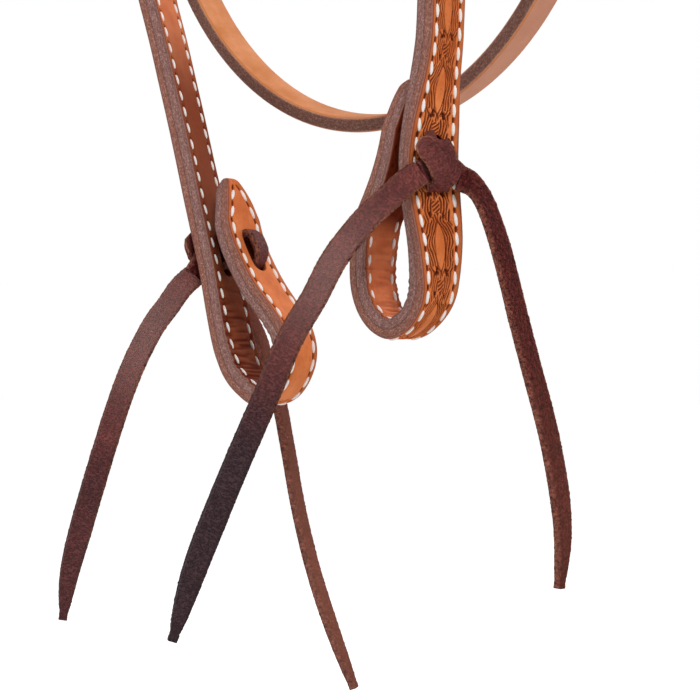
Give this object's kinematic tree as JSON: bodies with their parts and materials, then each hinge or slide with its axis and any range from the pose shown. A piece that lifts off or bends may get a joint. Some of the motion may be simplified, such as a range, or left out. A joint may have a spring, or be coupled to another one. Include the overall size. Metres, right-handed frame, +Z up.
{
  "type": "western headstall",
  "caption": "Western browband headstall with doubled, stitched cheek straps, folded bit loops tied by flat laces, and a plain throatlatch.",
  "frame": {"origin": "underside of the crown at its middle, where it rests over the poll", "axes": "+Z up; the horse would face -Y; +X is the horse's left, the near side"},
  "size_m": [0.1956, 0.1842, 0.5446],
  "materials": {
    "tooled_leather": "oiled, barbed-wire tooling",
    "lining_leather": "plain, lightly oiled",
    "plain_leather": "plain harness leather",
    "latigo_lace": "waxy plum latigo, rough flesh side",
    "stainless_steel": "satin bent wire"
  },
  "bodies": {
    "crown": {"crown_outer": "tooled_leather", "crown_lining": "lining_leather"},
    "browband": {"browband_face": "tooled_leather", "browband_lining": "lining_leather", "browband_loop_near": "tooled_leather", "browband_loop_off": "tooled_leather"},
    "cheek_near": {"cheek_billet_near": "plain_leather", "cheek_buckle_near": "stainless_steel", "cheek_face_near": "tooled_leather", "cheek_lining_near": "lining_leather", "fixed_keeper_near": "plain_leather", "tie_near": "latigo_lace", "tie_tail_front_near": "latigo_lace", "tie_tail_rear_near": "latigo_lace"},
    "cheek_tongue_near": {"cheek_tongue_near": "stainless_steel"},
    "sliding_keeper_near": {"sliding_keeper_near": "plain_leather"},
    "cheek_off": {"cheek_billet_off": "plain_leather", "cheek_buckle_off": "stainless_steel", "cheek_face_off": "tooled_leather", "cheek_lining_off": "lining_leather", "fixed_keeper_off": "plain_leather", "tie_off": "latigo_lace", "tie_tail_front_off": "latigo_lace", "tie_tail_rear_off": "latigo_lace"},
    "cheek_tongue_off": {"cheek_tongue_off": "stainless_steel"},
    "sliding_keeper_off": {"sliding_keeper_off": "plain_leather"},
    "throatlatch": {"throatlatch": "plain_leather", "throat_billet_near": "plain_leather", "throat_buckle_near": "stainless_steel", "throat_keeper_near": "plain_leather", "throat_billet_off": "plain_leather", "throat_buckle_off": "stainless_steel", "throat_keeper_off": "plain_leather"},
    "throat_tongue_near": {"throat_tongue_near": "stainless_steel"},
    "throat_tongue_off": {"throat_tongue_off": "stainless_steel"}
  },
  "joints": [
    {"name": "browband_slide", "type": "slide", "parent": "crown", "child": "browband", "axis": [0, 0, 1], "range_m": [-0.01, 0.01]},
    {"name": "cheek_swing_near", "type": "hinge", "parent": "crown", "child": "cheek_near", "pos_m": [0.088, -0.00935, -0.152], "axis": [0, -1, 0], "range_deg": [-2, 35]},
    {"name": "cheek_swing_off", "type": "hinge", "parent": "crown", "child": "cheek_off", "pos_m": [-0.088, -0.00935, -0.152], "axis": [0, 1, 0], "range_deg": [-2, 35]},
    {"name": "throatlatch_swing", "type": "hinge", "parent": "crown", "child": "throatlatch", "pos_m": [0, 0.01095, -0.1526], "axis": [1, 0, 0], "range_deg": [-1, 10]},
    {"name": "cheek_tongue_lift_near", "type": "hinge", "parent": "cheek_near", "child": "cheek_tongue_near", "pos_m": [0.07426, -0.00935, -0.1933], "axis": [0, 1, 0], "range_deg": [0, 8]},
    {"name": "cheek_tongue_lift_off", "type": "hinge", "parent": "cheek_off", "child": "cheek_tongue_off", "pos_m": [-0.07635, -0.00935, -0.21334], "axis": [0, -1, 0], "range_deg": [0, 8]},
    {"name": "throat_tongue_lift_near", "type": "hinge", "parent": "throatlatch", "child": "throat_tongue_near", "pos_m": [0.08489, 0.01617, -0.21474], "axis": [0, 0.9965, 0.0837], "range_deg": [0, 8]},
    {"name": "throat_tongue_lift_off", "type": "hinge", "parent": "throatlatch", "child": "throat_tongue_off", "pos_m": [-0.08489, 0.01617, -0.21474], "axis": [0, -0.9965, -0.0837], "range_deg": [0, 8]},
    {"name": "sliding_keeper_near_slide", "type": "slide", "parent": "cheek_near", "child": "sliding_keeper_near", "axis": [-0.2079, 0, -0.9781], "range_m": [-0.01, 0.008]},
    {"name": "sliding_keeper_off_slide", "type": "slide", "parent": "cheek_off", "child": "sliding_keeper_off", "axis": [0.1097, 0, -0.994], "range_m": [-0.01, 0.008]}
  ]
}
